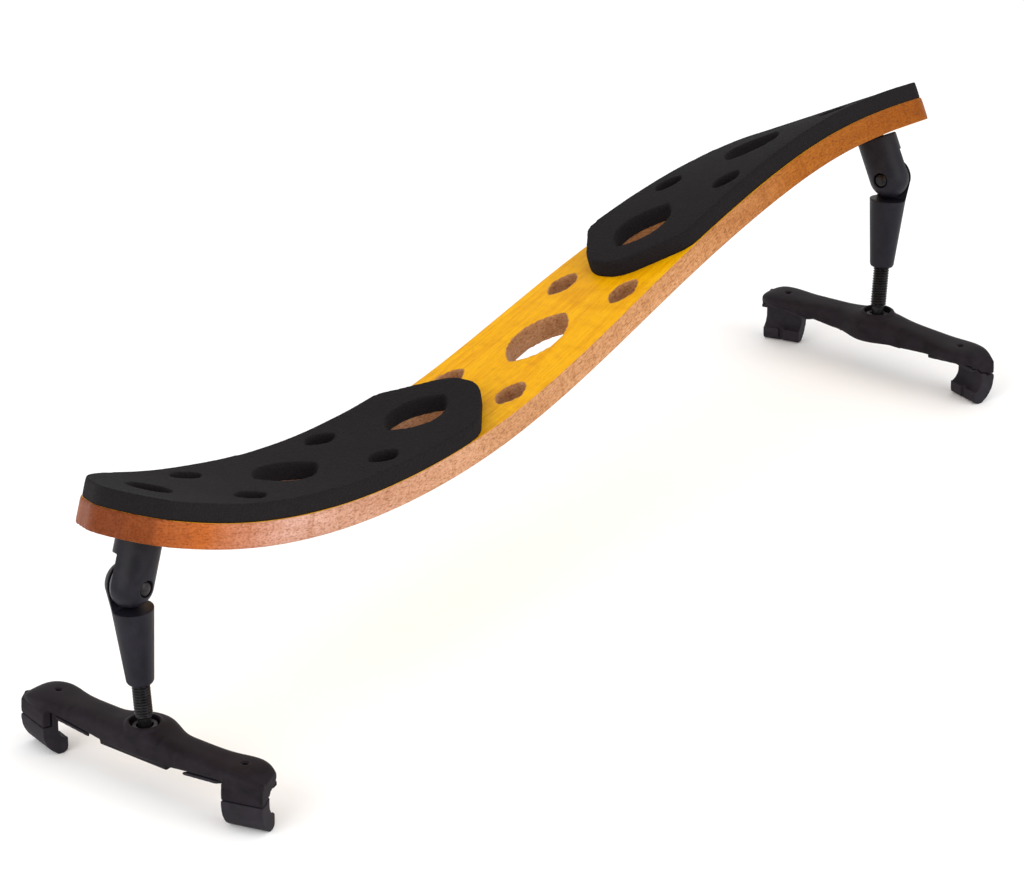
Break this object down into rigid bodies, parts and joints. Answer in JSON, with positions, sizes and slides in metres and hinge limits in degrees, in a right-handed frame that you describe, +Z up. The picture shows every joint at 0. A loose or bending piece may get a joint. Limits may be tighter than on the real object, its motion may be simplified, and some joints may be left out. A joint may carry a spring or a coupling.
{
  "type": "violin shoulder rest",
  "caption": "Bent and twisted wooden shoulder rest for a violin, with pierced foam pads and jointed, height-adjustable legs ending in hooked rubber grips.",
  "frame": {"origin": "on the plane that the grips' lower edges stand on, at the middle of the bounding box seen from above", "axes": "+X along the rest, towards its higher, more twisted end; +Y away from the player's front edge, across the bar; +Z up"},
  "size_m": [0.2388, 0.057, 0.0583],
  "materials": {
    "wood": "clear satin varnish",
    "foam": "matt, finely cellular foam rubber",
    "plastic": "satin moulded",
    "foot": "satin moulded",
    "rubber": "matt moulded",
    "metal": "black",
    "steel": "black oxide",
    "washer": "plain"
  },
  "bodies": {
    "bar_with_pads": {"board": "wood", "left_pad": "foam", "right_pad": "foam", "left_pivot_bush": "metal", "left_pivot_screw": "steel", "right_pivot_bush": "metal", "right_pivot_screw": "steel"},
    "left_post_unit": {"left_post": "plastic", "left_knee_screw": "steel", "left_knee_washer": "washer"},
    "left_sleeve_unit": {"left_sleeve": "plastic"},
    "left_ring_unit": {"left_swivel_ring": "steel"},
    "left_rod_unit": {"left_rod": "steel"},
    "left_foot_unit": {"left_foot_bar": "foot", "left_front_grip": "rubber", "left_back_grip": "rubber"},
    "right_post_unit": {"right_post": "plastic", "right_knee_screw": "steel", "right_knee_washer": "washer"},
    "right_sleeve_unit": {"right_sleeve": "plastic"},
    "right_ring_unit": {"right_swivel_ring": "steel"},
    "right_rod_unit": {"right_rod": "steel"},
    "right_foot_unit": {"right_foot_bar": "foot", "right_front_grip": "rubber", "right_back_grip": "rubber"}
  },
  "joints": [
    {"name": "left_swivel", "type": "hinge", "parent": "bar_with_pads", "child": "left_post_unit", "pos_m": [-0.10561, 0.00371, 0.04337], "axis": [0.3719, 0.0222, 0.928], "range_deg": [-180, 180]},
    {"name": "left_knee", "type": "hinge", "parent": "left_post_unit", "child": "left_sleeve_unit", "pos_m": [-0.10866, 0.00353, 0.03576], "axis": [-0.0517, -0.9977, 0.0445], "range_deg": [-69, 21]},
    {"name": "left_height", "type": "slide", "parent": "left_sleeve_unit", "child": "left_ring_unit", "axis": [0.0372, -0.0465, -0.9982], "range_m": [-0.0023, 0.005]},
    {"name": "left_rod_turn", "type": "hinge", "parent": "left_ring_unit", "child": "left_rod_unit", "pos_m": [-0.10776, 0.0024, 0.0115], "axis": [0.0372, -0.0465, -0.9982], "range_deg": [-1660, 3604]},
    {"name": "left_foot_swivel", "type": "hinge", "parent": "left_ring_unit", "child": "left_foot_unit", "pos_m": [-0.10776, 0.0024, 0.0115], "axis": [0.0372, -0.0465, -0.9982], "range_deg": [-180, 180]},
    {"name": "right_swivel", "type": "hinge", "parent": "bar_with_pads", "child": "right_post_unit", "pos_m": [0.10714, 0.00185, 0.0445], "axis": [0.1097, 0.4632, 0.8794], "range_deg": [-180, 180]},
    {"name": "right_knee", "type": "hinge", "parent": "right_post_unit", "child": "right_sleeve_unit", "pos_m": [0.10624, -0.00194, 0.03728], "axis": [-0.9905, -0.0232, 0.1357], "range_deg": [-18, 71]},
    {"name": "right_height", "type": "slide", "parent": "right_sleeve_unit", "child": "right_ring_unit", "axis": [-0.1354, -0.0175, -0.9906], "range_m": [-0.0039, 0.0037]},
    {"name": "right_rod_turn", "type": "hinge", "parent": "right_ring_unit", "child": "right_rod_unit", "pos_m": [0.10272, -0.0024, 0.0115], "axis": [-0.1354, -0.0175, -0.9906], "range_deg": [-2812, 2668]},
    {"name": "right_foot_swivel", "type": "hinge", "parent": "right_ring_unit", "child": "right_foot_unit", "pos_m": [0.10272, -0.0024, 0.0115], "axis": [-0.1354, -0.0175, -0.9906], "range_deg": [-180, 180]}
  ],
  "couplings": [
    {"joint": "left_rod_turn", "follows": "left_height", "rad_per_m": 12566},
    {"joint": "right_rod_turn", "follows": "right_height", "rad_per_m": 12566}
  ]
}
